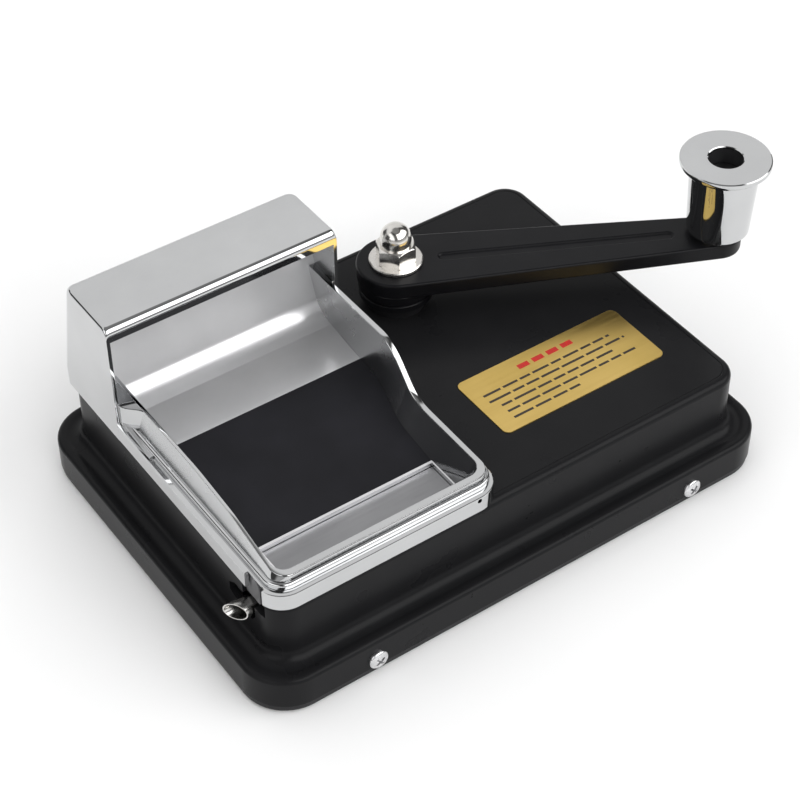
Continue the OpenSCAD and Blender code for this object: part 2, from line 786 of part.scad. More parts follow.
module crank_arm() {
    bevel = 0.6;
    groove_r = 1.9;
    groove_x0 = 17;
    groove_x1 = 98.5;
    color("#262627") at_shaft() rotate([0, 0, crank_angle]) difference() {
        union() {
            translate([0, 0, arm_z0]) linear_extrude(arm_t - bevel) arm_plan(arm_hub_r, arm_tip_r);
            translate([0, 0, arm_z1 - bevel - eps]) linear_extrude(bevel + eps)
                arm_plan(arm_hub_r - bevel, arm_tip_r - bevel);
        }
        translate([0, 0, arm_z1 - 0.8]) linear_extrude(2) union() {
            translate([groove_x0, -groove_r]) square([groove_x1 - groove_x0, 2 * groove_r]);
            for (x = [groove_x0, groove_x1]) translate([x, 0]) circle(r = groove_r);
        }
        translate([0, 0, arm_z0 - 1]) cylinder(h = arm_t + 2, r = spigot_r);
        translate([arm_len, 0, arm_z0 - 1]) cylinder(h = arm_t + 2, r = 3);
    }
}

module crank_washer() {
    color("#c9cbcd") at_shaft() translate([0, 0, arm_z1]) difference() {
        cylinder(h = washer_t, r = 9.6);
        translate([0, 0, -1]) cylinder(h = 4, r = thread_r);
    }
}

module acorn_nut() {
    z0 = arm_z1 + washer_t;
    dome_r = 5.6;
    color("#cfd1d3") at_shaft() translate([0, 0, z0]) difference() {
        union() {
            rotate([0, 0, 5]) cylinder(h = hex_h, r = hex_af / 2 / cos(30), $fn = 6);
            cylinder(h = nut_h - dome_r, r = dome_r);
            translate([0, 0, nut_h - dome_r]) sphere(r = dome_r);
        }
        translate([0, 0, -1]) cylinder(h = hex_h + 4, r = thread_r);
    }
}

// Knob: a spool with a wide thin flange on top and a waisted body.
module knob() {
    flange_z0 = knob_h - 2.2;
    cone_z = flange_z0 - 2.4;
    outline = [[0, 0], [10.4, 0], [11.25, 0.8], [12.45, cone_z], [13.4, cone_z], [14.6, flange_z0 - 0.6],
        [knob_flange_r - 0.4, flange_z0], [knob_flange_r, flange_z0 + 0.5], [knob_flange_r, knob_h - 0.7],
        [knob_flange_r - 0.8, knob_h], [0, knob_h]];
    color("#dadcde") at_knob() translate([0, 0, knob_z0]) difference() {
        rotate_extrude() polygon(outline);
        translate([0, 0, -1]) cylinder(h = knob_h, r = knob_pin_r + running_gap);
        translate([0, 0, knob_h - knob_bore_depth]) cylinder(h = knob_bore_depth + 1, r = knob_bore_r);
    }
}

// Shoulder screw that the knob turns on.
module knob_pin() {
    shoulder = knob_h - knob_bore_depth + knob_washer_t + 0.6;
    color("#8a8c8f") at_knob() translate([0, 0, arm_z1]) difference() {
        union() {
            translate([0, 0, -arm_t + 0.4]) cylinder(h = arm_t, r = 3);
            cylinder(h = shoulder, r = knob_pin_r);
            translate([0, 0, shoulder - eps]) cylinder(h = 3.4, r = 5.6);
        }
        translate([0, 0, shoulder + 1.4]) cylinder(h = 4, r = 2.9, $fn = 6);
    }
}

module knob_washer() {
    color("#b9bbbd") at_knob() translate([0, 0, arm_z1]) difference() {
        cylinder(h = knob_washer_t, r = 8.4);
        translate([0, 0, -1]) cylinder(h = 4, r = knob_pin_r);
    }
}

base_shell();
bottom_plate();
non_slip_mat();
flange_screws();
label_plate();
hopper_shell();
hopper_screws();
hopper_liner();
hopper_tray();
chamber_frame();
chamber_block();
block_screws();
nozzle();
press_bar();
press_springs();
spring_bracket();
clamp_finger();
clamp_spring();
spoon();
ram_rod();
carriage();
rack();
rack_screws();
rack_guide();
guide_rod();
guide_posts();
stop_bumpers();
bearing_block();
lower_bush();
upper_bush();
crank_shaft();
sector_gear();
gear_pin();
thrust_washer();
boss_collar();
crank_arm();
crank_washer();
acorn_nut();
knob();
knob_pin();
knob_washer();
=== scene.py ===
"""Looks for the hand-cranked tabletop filling press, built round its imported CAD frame."""

import json
import math
import random

import bmesh
import bpy
from mathutils import Matrix, Vector


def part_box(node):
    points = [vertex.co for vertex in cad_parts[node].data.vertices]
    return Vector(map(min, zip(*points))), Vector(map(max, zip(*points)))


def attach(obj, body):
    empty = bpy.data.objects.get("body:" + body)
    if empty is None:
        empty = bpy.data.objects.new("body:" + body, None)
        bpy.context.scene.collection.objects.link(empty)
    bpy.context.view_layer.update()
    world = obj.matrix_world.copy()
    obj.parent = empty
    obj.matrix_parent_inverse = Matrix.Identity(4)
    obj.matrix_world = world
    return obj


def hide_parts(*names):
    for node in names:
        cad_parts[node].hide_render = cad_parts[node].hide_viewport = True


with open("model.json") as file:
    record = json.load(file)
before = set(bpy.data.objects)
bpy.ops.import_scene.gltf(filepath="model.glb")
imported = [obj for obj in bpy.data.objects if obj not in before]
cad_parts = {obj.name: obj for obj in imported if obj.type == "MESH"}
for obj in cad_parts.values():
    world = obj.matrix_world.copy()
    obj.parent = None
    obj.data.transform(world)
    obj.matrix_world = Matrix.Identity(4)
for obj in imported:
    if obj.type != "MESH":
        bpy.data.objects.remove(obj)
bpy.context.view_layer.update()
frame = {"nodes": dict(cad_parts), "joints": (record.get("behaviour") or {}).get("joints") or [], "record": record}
MM = 0.001
random.seed(7)


# places taken from the frame, in millimetres ---------------------------------------

def box_mm(node):
    """Lowest and highest corner of a CAD node, in millimetres."""
    low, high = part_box(node)
    return low / MM, high / MM


SHELL_LOW, SHELL_HIGH = box_mm("base_shell")
HOPPER_LOW, HOPPER_HIGH = box_mm("hopper_shell")
ARM_LOW, ARM_HIGH = box_mm("crank_arm")
JOINTS = {joint["name"]: joint for joint in frame["joints"]}
SHAFT = Vector(JOINTS["crank_turn"]["pos_m"]) / MM
KNOB = Vector(JOINTS["knob_spin"]["pos_m"]) / MM
DECK_Z = SHELL_HIGH.z
HALF_W = (SHELL_HIGH.x - SHELL_LOW.x) / 2
HALF_D = (SHELL_HIGH.y - SHELL_LOW.y) / 2
ARM_ANGLE = math.atan2(KNOB.y - SHAFT.y, KNOB.x - SHAFT.x)
ARM_LENGTH = (KNOB - SHAFT).to_2d().length


# camera, first ---------------------------------------------------------------------

CAMERA_PLACE = (-301.76, -430.36, 528.47)
CAMERA_YAW, CAMERA_PITCH, CAMERA_ROLL = 34.833, 43.603, -0.284
CAMERA_LENS, SENSOR_WIDTH = 93.49, 36


def make_camera():
    """A long lens at the photograph's angle: yaw from +Y towards +X, then down."""
    yaw, pitch, roll = (math.radians(a) for a in (CAMERA_YAW, CAMERA_PITCH, CAMERA_ROLL))
    forward = Vector((math.sin(yaw) * math.cos(pitch), math.cos(yaw) * math.cos(pitch), -math.sin(pitch)))
    side = forward.cross(Vector((0, 0, 1))).normalized()
    up = side.cross(forward)
    right = side * math.cos(roll) + up * math.sin(roll)
    top = up * math.cos(roll) - side * math.sin(roll)
    data = bpy.data.cameras.new("camera")
    data.lens = CAMERA_LENS
    data.sensor_width = SENSOR_WIDTH
    data.clip_start, data.clip_end = 0.01, 20
    camera = bpy.data.objects.new("camera", data)
    bpy.context.scene.collection.objects.link(camera)
    turn = Matrix((right, top, -forward)).transposed().to_4x4()
    camera.matrix_world = Matrix.Translation(Vector(CAMERA_PLACE) * MM) @ turn
    bpy.context.scene.camera = camera


make_camera()


# mesh helpers ----------------------------------------------------------------------

def new_object(name, verts, faces):
    """An object from vertices in millimetres and faces."""
    mesh = bpy.data.meshes.new(name)
    mesh.from_pydata([Vector(v) * MM for v in verts], [], faces)
    mesh.validate()
    obj = bpy.data.objects.new(name, mesh)
    bpy.context.scene.collection.objects.link(obj)
    return obj


def outward(obj):
    """Welds double points and turns every face outwards."""
    bm = bmesh.new()
    bm.from_mesh(obj.data)
    bmesh.ops.remove_doubles(bm, verts=bm.verts, dist=2e-6)
    bmesh.ops.recalc_face_normals(bm, faces=bm.faces)
    bm.to_mesh(obj.data)
    bm.free()
    return obj


def loft(name, rings, ring_closed=True, caps=True, loop=False):
    """Skins rings of equal length, with flat caps on the first and last, or joined in a loop."""
    count = len(rings[0])
    verts = [p for ring in rings for p in ring]
    pairs = len(rings) if loop else len(rings) - 1
    steps = count if ring_closed else count - 1
    faces = []
    for i in range(pairs):
        a, b = i * count, (i + 1) % len(rings) * count
        for k in range(steps):
            j = (k + 1) % count
            faces.append((a + k, a + j, b + j, b + k))
    if caps and not loop:
        faces.append(tuple(reversed(range(count))))
        faces.append(tuple(range(len(verts) - count, len(verts))))
    return outward(new_object(name, verts, faces))


def shade(obj, angle=32):
    """Smooth faces with creases kept sharp."""
    obj.data.polygons.foreach_set("use_smooth", [True] * len(obj.data.polygons))
    obj.data.set_sharp_from_angle(angle=math.radians(angle))
    modifier = obj.modifiers.new("normals", "WEIGHTED_NORMAL")
    modifier.keep_sharp = True
    modifier.weight = 60
    return bake(obj)


def bake(obj):
    """Applies the modifiers to the mesh."""
    graph = bpy.context.evaluated_depsgraph_get()
    mesh = bpy.data.meshes.new_from_object(obj.evaluated_get(graph))
    obj.modifiers.clear()
    obj.data = mesh
    return obj


def cut(obj, *cutters, operation="DIFFERENCE"):
    """Cuts each cutter out of obj, or combines it as asked, and removes the cutters."""
    for cutter in cutters:
        modifier = obj.modifiers.new("cut", "BOOLEAN")
        modifier.operation = operation
        modifier.solver = "EXACT"
        modifier.object = cutter
    bake(obj)
    for cutter in cutters:
        bpy.data.objects.remove(cutter)
    return obj


def soften(obj, width=0.3, segments=2, angle=40):
    """Rounds the hard edges by a small bevel."""
    modifier = obj.modifiers.new("edge", "BEVEL")
    modifier.width = width * MM
    modifier.segments = segments
    modifier.limit_method = "ANGLE"
    modifier.angle_limit = math.radians(angle)
    return bake(obj)


def lathe(name, profile, centre, segments=128):
    """Turns a closed (radius, z) outline about the vertical through centre."""
    rings = []
    for k in range(segments):
        a = math.tau * k / segments
        rings.append([(centre[0] + r * math.cos(a), centre[1] + r * math.sin(a), z) for r, z in profile])
    return loft(name, rings, loop=True)


def arc(cx, cy, r, a0, a1, steps):
    """Points on an arc from angle a0 to a1, in degrees."""
    angles = [math.radians(a0 + (a1 - a0) * i / steps) for i in range(steps + 1)]
    return [(cx + r * math.cos(a), cy + r * math.sin(a)) for a in angles]


def round_rect(x0, y0, x1, y1, r, z, steps=10):
    """A level ring: a rectangle with round corners."""
    points = []
    corners = ((x1 - r, y0 + r), (x1 - r, y1 - r), (x0 + r, y1 - r), (x0 + r, y0 + r))
    for (cx, cy), start in zip(corners, (-90, 0, 90, 180)):
        points += [(x, y, z) for x, y in arc(cx, cy, r, start, start + 90, steps)]
    return points


def prism_x(name, outline, x0, x1):
    """A (y, z) outline drawn out along X."""
    return loft(name, [[(x, y, z) for y, z in outline] for x in (x0, x1)])


def slab(name, low, high):
    """A plain block between two corners, for cuts and hidden feet."""
    (x0, y0, z0), (x1, y1, z1) = low, high
    return prism_x(name, [(y0, z0), (y1, z0), (y1, z1), (y0, z1)], x0, x1)


def smooth_step(t):
    """Eases from 0 to 1 as t goes from 0 to 1."""
    t = min(max(t, 0.0), 1.0)
    return t * t * (3 - 2 * t)


# materials -------------------------------------------------------------------------

def new_material(name):
    """A material and its Principled shader, node tree and object coordinates."""
    material = bpy.data.materials.new(name)
    material.use_nodes = True
    tree = material.node_tree
    shader = tree.nodes["Principled BSDF"]
    coords = tree.nodes.new("ShaderNodeTexCoord")
    return material, tree, shader, coords.outputs["Object"]


def noise(tree, vector, scale, detail=3.0, stretch=(1, 1, 1)):
    """Noise in object space, stretched along the axes."""
    mapping = tree.nodes.new("ShaderNodeMapping")
    mapping.inputs["Scale"].default_value = stretch
    texture = tree.nodes.new("ShaderNodeTexNoise")
    texture.inputs["Scale"].default_value = scale
    texture.inputs["Detail"].default_value = detail
    tree.links.new(vector, mapping.inputs["Vector"])
    tree.links.new(mapping.outputs["Vector"], texture.inputs["Vector"])
    return texture.outputs["Fac"]


def spread(tree, value, low, high, start=0.3, end=0.7):
    """Maps a noise value to a range."""
    node = tree.nodes.new("ShaderNodeMapRange")
    node.inputs["From Min"].default_value = start
    node.inputs["From Max"].default_value = end
    node.inputs["To Min"].default_value = low
    node.inputs["To Max"].default_value = high
    tree.links.new(value, node.inputs["Value"])
    return node.outputs["Result"]


def tint(tree, value, dark, light):
    """Mixes two colours by a value."""
    ramp = tree.nodes.new("ShaderNodeValToRGB")
    ramp.color_ramp.elements[0].position = 0.3
    ramp.color_ramp.elements[0].color = (*dark, 1)
    ramp.color_ramp.elements[1].position = 0.7
    ramp.color_ramp.elements[1].color = (*light, 1)
    tree.links.new(value, ramp.inputs["Fac"])
    return ramp.outputs["Color"]


def bump(tree, shader, height, distance, strength=1.0):
    """Raises the surface by height times distance, in millimetres."""
    node = tree.nodes.new("ShaderNodeBump")
    node.inputs["Distance"].default_value = distance * MM
    node.inputs["Strength"].default_value = strength
    tree.links.new(height, node.inputs["Height"])
    tree.links.new(node.outputs["Normal"], shader.inputs["Normal"])


def satin_black(name, dark, light, rough, grain, ior):
    """Moulded or powder-coated black: faint grain, cloudy gloss."""
    material, tree, shader, place = new_material(name)
    cloud = noise(tree, place, 60, 4)
    fine = noise(tree, place, 2600, 2)
    tree.links.new(tint(tree, cloud, dark, light), shader.inputs["Base Color"])
    tree.links.new(spread(tree, cloud, rough - 0.01, rough + 0.01), shader.inputs["Roughness"])
    shader.inputs["IOR"].default_value = ior
    bump(tree, shader, fine, grain, 0.5)
    return material


def metal(name, dark, light, rough_low, rough_high, scale=50, stretch=(1, 1, 1), grain=0.0, metallic=1.0):
    """Plated or ground metal: roughness wanders, with optional drawn grain."""
    material, tree, shader, place = new_material(name)
    cloud = noise(tree, place, scale, 4)
    tree.links.new(tint(tree, cloud, dark, light), shader.inputs["Base Color"])
    shader.inputs["Metallic"].default_value = metallic
    if grain:
        drawn = noise(tree, place, 900, 3, stretch)
        tree.links.new(spread(tree, drawn, rough_low, rough_high), shader.inputs["Roughness"])
        bump(tree, shader, drawn, grain, 0.6)
    else:
        tree.links.new(spread(tree, cloud, rough_low, rough_high), shader.inputs["Roughness"])
    return material


def rubber_material(name):
    """Dull black rubber with a fine grain."""
    material, tree, shader, place = new_material(name)
    fine = noise(tree, place, 1200, 3)
    colour = tint(tree, fine, (0.012, 0.012, 0.012), (0.024, 0.024, 0.024))
    tree.links.new(colour, shader.inputs["Base Color"])
    tree.links.new(spread(tree, fine, 0.75, 0.9), shader.inputs["Roughness"])
    bump(tree, shader, fine, 0.03, 0.6)
    return material


def ink_material(name, colour):
    """Printed ink with a slightly uneven coat."""
    material, tree, shader, place = new_material(name)
    patch = noise(tree, place, 900, 2)
    darker = tuple(c * 0.75 for c in colour)
    tree.links.new(tint(tree, patch, darker, colour), shader.inputs["Base Color"])
    tree.links.new(spread(tree, patch, 0.4, 0.6), shader.inputs["Roughness"])
    return material


CHROME_DARK, CHROME_LIGHT = (0.56, 0.565, 0.57), (0.60, 0.605, 0.61)
CHROME_SOFT = metal("chrome_soft", CHROME_DARK, CHROME_LIGHT, 0.22, 0.3)
DRAWN = (0.05, 1, 1)

# slot: dark and light colour, roughness, grain, index of refraction
BLACKS = {
    "black_shell": ((0.0095, 0.0095, 0.0103), (0.0115, 0.0115, 0.0123), 0.28, 0.012, 1.18),
    "black_arm": ((0.004, 0.004, 0.005), (0.007, 0.007, 0.008), 0.34, 0.008, 1.24),
    "black_collar": ((0.004, 0.004, 0.005), (0.007, 0.007, 0.008), 0.30, 0.006, 1.24),
    "black_bush": ((0.010, 0.010, 0.011), (0.014, 0.014, 0.015), 0.38, 0.012, 1.24),
    "black_tray": ((0.010, 0.010, 0.012), (0.014, 0.014, 0.017), 0.5, 0.014, 1.24),
    "dark_clamp": ((0.10, 0.10, 0.105), (0.13, 0.13, 0.135), 0.32, 0.012, 1.5),
    "dark_plate": ((0.02, 0.02, 0.021), (0.03, 0.03, 0.032), 0.3, 0.006, 1.24),
}

# slot: dark and light colour, lowest and highest roughness, noise scale, stretch, grain, metallic
METALS = {
    "chrome_hopper": (CHROME_DARK, CHROME_LIGHT, 0.035, 0.06),
    "chrome_knob": (CHROME_DARK, CHROME_LIGHT, 0.03, 0.05),
    "chrome_liner": ((0.62, 0.62, 0.63), (0.69, 0.69, 0.70), 0.2, 0.26, 50, (0.06, 1, 1), 0.004, 0.62),
    "frame_steel": ((0.7, 0.7, 0.71), (0.8, 0.8, 0.81), 0.12, 0.2),
    "press_steel": ((0.31, 0.31, 0.32), (0.35, 0.35, 0.36), 0.36, 0.48, 40, DRAWN, 0.006),
    "nozzle_steel": ((0.55, 0.54, 0.52), (0.68, 0.67, 0.65), 0.14, 0.24, 60, DRAWN, 0.004),
    "bright_screw": ((0.62, 0.62, 0.63), (0.78, 0.78, 0.79), 0.2, 0.32, 300),
    "washer_steel": ((0.62, 0.60, 0.57), (0.74, 0.72, 0.69), 0.2, 0.34, 200),
    "nut_steel": ((0.66, 0.64, 0.61), (0.78, 0.76, 0.73), 0.12, 0.22, 200),
    "gold_label": ((0.66, 0.46, 0.13), (0.76, 0.54, 0.18), 0.30, 0.42, 30, (0.04, 1, 1), 0.004),
    "block_aluminium": ((0.5, 0.5, 0.51), (0.6, 0.6, 0.61), 0.3, 0.45, 60, DRAWN, 0.01),
    "shaft_steel": ((0.55, 0.55, 0.56), (0.65, 0.65, 0.66), 0.16, 0.26, 80),
    "gear_steel": ((0.3, 0.3, 0.3), (0.42, 0.42, 0.43), 0.25, 0.45, 120),
    "spring_steel": ((0.5, 0.5, 0.5), (0.6, 0.6, 0.61), 0.2, 0.3, 200),
    "bracket_steel": ((0.42, 0.43, 0.44), (0.55, 0.56, 0.57), 0.3, 0.45, 90),
    "bush_brass": ((0.45, 0.30, 0.12), (0.60, 0.42, 0.18), 0.3, 0.45, 150),
    "pin_steel": ((0.22, 0.22, 0.23), (0.32, 0.32, 0.33), 0.3, 0.4, 200),
}

MATERIALS = {slot: satin_black(slot, *recipe) for slot, recipe in BLACKS.items()}
MATERIALS.update({slot: metal(slot, *recipe) for slot, recipe in METALS.items()})
MATERIALS["rubber_mat"] = rubber_material("rubber_mat")


def dress(obj, slot, body, *replaced):
    """Gives a piece its material, its body and the CAD nodes that it stands for."""
    obj.data.materials.clear()
    obj.data.materials.append(MATERIALS[slot])
    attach(obj, body)
    if replaced:
        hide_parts(*replaced)
    return obj


# base ------------------------------------------------------------------------------

BODY_INSET = 9.1
FLANGE_R = 16.6
BODY_R = 9.4
FLANGE_Z = 15.7
BASE_WALL = 2.5
WINDOW = [(-54.2, 28), (-52, 25.5), (-46, 25.5), (-39, 28), (-39, 31.5), (-42.5, 33.8), (-54.2, 33.8)]
TRAY_ROOM = (-92, -61.4, -10.2, 13)
CLAMP_GAP_X = (-98, -92)
SHAFT_HOLE_R = 8


def base_ring(inset, z):
    """A ring at some inset from the flange outline, its corners easing from flange to body."""
    if inset <= BODY_INSET:
        r = FLANGE_R + (BODY_R - FLANGE_R) * inset / BODY_INSET
    else:
        r = max(BODY_R - (inset - BODY_INSET), 1.5)
    w, d = HALF_W - inset, HALF_D - inset
    return round_rect(-w, -d, w, d, r, z, 14)


def make_base():
    """The black moulding: flange, concave foot, straight wall and rounded deck with a lip line."""
    z0 = SHELL_LOW.z
    edge, foot, top = 1.8, 4.6, 2.5
    foot_z = FLANGE_Z - 0.4
    wall_inset, flange_under = BODY_INSET + BASE_WALL, FLANGE_Z - BASE_WALL
    inner = [(wall_inset, DECK_Z - BASE_WALL), (wall_inset, flange_under)]
    inner += [(BASE_WALL, flange_under), (BASE_WALL, z0)]
    outer = [(0.3, z0), (0.08, z0 + 0.1), (0, z0 + 0.3)]
    outer += arc(edge, FLANGE_Z - edge, edge, 180, 90, 6)
    outer += [(2.7, FLANGE_Z - 0.02), (3.3, FLANGE_Z - 0.12), (3.9, FLANGE_Z - 0.3)]
    outer += arc(BODY_INSET - foot, foot_z + foot, foot, -90, 0, 8)
    outer += arc(BODY_INSET + top, DECK_Z - top, top, 180, 90, 8)
    lip = BODY_INSET + top
    line_z = DECK_Z - 0.22
    outer += [(lip + 0.35, DECK_Z), (lip + 0.5, line_z), (lip + 0.75, line_z), (lip + 0.9, DECK_Z)]
    outer += [(lip + 2, DECK_Z)]
    shell = loft("base_shell_moulding", [base_ring(inset, z) for inset, z in inner + outer])
    window = prism_x("window", WINDOW, -HALF_W + 2, -HALF_W + 14)
    z_in, z_out = DECK_Z - 5, DECK_Z + 1
    opening = loft("opening", [round_rect(*TRAY_ROOM, 2, z) for z in (DECK_Z - 4, z_out)])
    hole = lathe("hole", [(0.01, z_in), (SHAFT_HOLE_R, z_in), (SHAFT_HOLE_R, z_out), (0.01, z_out)], SHAFT)
    low, high = box_mm("clamp_finger")
    gap = slab("gap", (CLAMP_GAP_X[0], low.y - 0.4, 33), (CLAMP_GAP_X[1], high.y + 0.4, z_out))
    cut(shell, window, opening, hole, gap)
    shade(shell)
    dress(shell, "black_shell", "base", "base_shell")


def screw_head(name, radius, height, face):
    """A pan head with a cross recess, standing on the plane z = 0 and then moved by the matrix face."""
    depth, shank_r, rim_h = 3, 2, height * 0.35
    profile = [(0.01, -depth), (shank_r, -depth), (shank_r, 0), (radius, 0), (radius, rim_h)]
    crown = radius * 0.95
    profile += [(crown * math.cos(a) + radius - crown, rim_h + height * 0.65 * math.sin(a))
                for a in (math.radians(k) for k in range(12, 90, 13))]
    profile += [(0.01, height)]
    head = lathe(name, profile, (0, 0), 64)
    arms = []
    long_half, short_half = radius * 0.58, radius * 0.13
    for hx, hy in ((long_half, short_half), (short_half, long_half)):
        low = round_rect(-hx * 0.55, -hy * 0.8, hx * 0.55, hy * 0.8, 0.05, height * 0.2, 2)
        high = round_rect(-hx, -hy, hx, hy, 0.08, height + 0.3, 2)
        arms.append(loft("arm", [low, high]))
    cut(head, *arms)
    head.data.transform(face)
    return shade(head, 35)


def make_flange_screws():
    """Four cross-head screws in the flange, two at the front and two at the back."""
    low, high = box_mm("flange_screws")
    radius = (high.z - low.z) / 2
    height = (high.y - low.y) / 2 - HALF_D
    z = (low.z + high.z) / 2
    for x in (low.x + radius, high.x - radius):
        for side, turn in ((-1, math.radians(90)), (1, math.radians(-90))):
            spin = Matrix.Rotation(random.uniform(0.3, 1.2), 4, "Z")
            place = Matrix.Translation(Vector((x, side * HALF_D, z)) * MM)
            face = place @ Matrix.Rotation(turn, 4, "X") @ spin
            name = f"flange_screw_{'front' if side < 0 else 'back'}_{'left' if x < 0 else 'right'}"
            head = screw_head(name, radius, height, face)
            dress(head, "bright_screw", "base", "flange_screws")


# hopper ----------------------------------------------------------------------------

HOOD_Y0 = 28.5
WALL_END_Y = HOOD_Y0 + 20
LEDGE_Z = 46.62
BEAD_R, BEAD_TOP_Z = 1.0, 49.0
CREASE = 0.22
RIM_Z = 50.7
FLOOR_FOLD_Y = -39.5
FLOOR_Z = 39.2
FLOOR_SLOPE = math.tan(math.radians(9.4))
LEFT_RAIL = [(-70, RIM_Z), (-62, RIM_Z), (-55, 52), (-35.5, 56.7), (-15.5, 58.7), (29, 59.2), (60, 59.2)]
RIGHT_RAIL = [(-70, RIM_Z), (-54, 51), (-26, 51.3), (-20, 53.4), (-11, 63.2), (-4.5, 67.0), (29, 66.7),
              (60, 66.7)]


def on_line(points, y):
    """Height of a broken line at y."""
    for (y0, z0), (y1, z1) in zip(points, points[1:]):
        if y <= y1:
            return z0 + (z1 - z0) * (y - y0) / (y1 - y0)
    return points[-1][1]


def rail(points, y, reach=3.2, samples=9):
    """The broken line with its corners rounded, by averaging round y."""
    offsets = [reach * (2 * i / (samples - 1) - 1) for i in range(samples)]
    weights = [1 - abs(o) / (reach * 1.2) for o in offsets]
    return sum(w * on_line(points, y + o) for o, w in zip(offsets, weights)) / sum(weights)


def floor_height(y):
    """Height of the tray at y."""
    return FLOOR_Z + max(0.0, y - FLOOR_FOLD_Y) * FLOOR_SLOPE


def wall_ring(left, front, right, radius, height, right_shift=None):
    """An open ring round the left, front and right of the hopper at given insets.
    height is a number or a function of (is_left, y), and right_shift(y) moves the right side in."""
    x0, y0, x1 = HOPPER_LOW.x + left, HOPPER_LOW.y + front, HOPPER_HIGH.x - right
    side_steps, corner_steps, front_steps = 64, 12, 10
    level = []
    for i in range(side_steps):
        level.append((x0, WALL_END_Y + (y0 + radius - WALL_END_Y) * i / side_steps))
    level += arc(x0 + radius, y0 + radius, radius, 180, 270, corner_steps)
    for i in range(1, front_steps):
        level.append((x0 + radius + (x1 - x0 - 2 * radius) * i / front_steps, y0))
    level += arc(x1 - radius, y0 + radius, radius, 270, 360, corner_steps)
    for i in range(1, side_steps + 1):
        level.append((x1, y0 + radius + (WALL_END_Y - y0 - radius) * i / side_steps))
    middle = (x0 + x1) / 2
    ring = []
    for x, y in level:
        z = height(x < middle, y) if callable(height) else height
        if right_shift and x > middle:
            x -= right_shift(y) * smooth_step((x - middle) / (x1 - radius - middle))
        ring.append((x, y, z))
    return ring


def rail_height(is_left, y):
    """Height of the top line of the left or right wall at y."""
    return rail(LEFT_RAIL if is_left else RIGHT_RAIL, y)


def below_rail(drop):
    """Height a little under the top line."""
    return lambda is_left, y: rail_height(is_left, y) - drop


def above_floor(lift):
    """Height a little over the tray."""
    return lambda is_left, y: floor_height(y) + lift


def lean_in(amount):
    """The right wall leans in towards the front: nothing behind, the full amount in front."""
    return lambda y: amount * (1 - smooth_step((y - LEAN_Y0) / (LEAN_Y1 - LEAN_Y0)))


def soften_faces(obj, wanted):
    """Gives some faces of a chrome piece a softer polish."""
    obj.data.materials.append(CHROME_SOFT)
    for face in obj.data.polygons:
        if wanted(face):
            face.material_index = 1


NOTCH_Y0, NOTCH_Y1, NOTCH_TOP_Z = -60.2, -50.8, 46.9
FINGER_WIDTH, FINGER_THICK = 8.2, 1.8
PIN_HOLE_X, PIN_HOLE_LIFT, PIN_HOLE_R = -18, 5.2, 0.85
RIGHT_LEAN, LEAN_Y0, LEAN_Y1 = 4.4, -24, 2


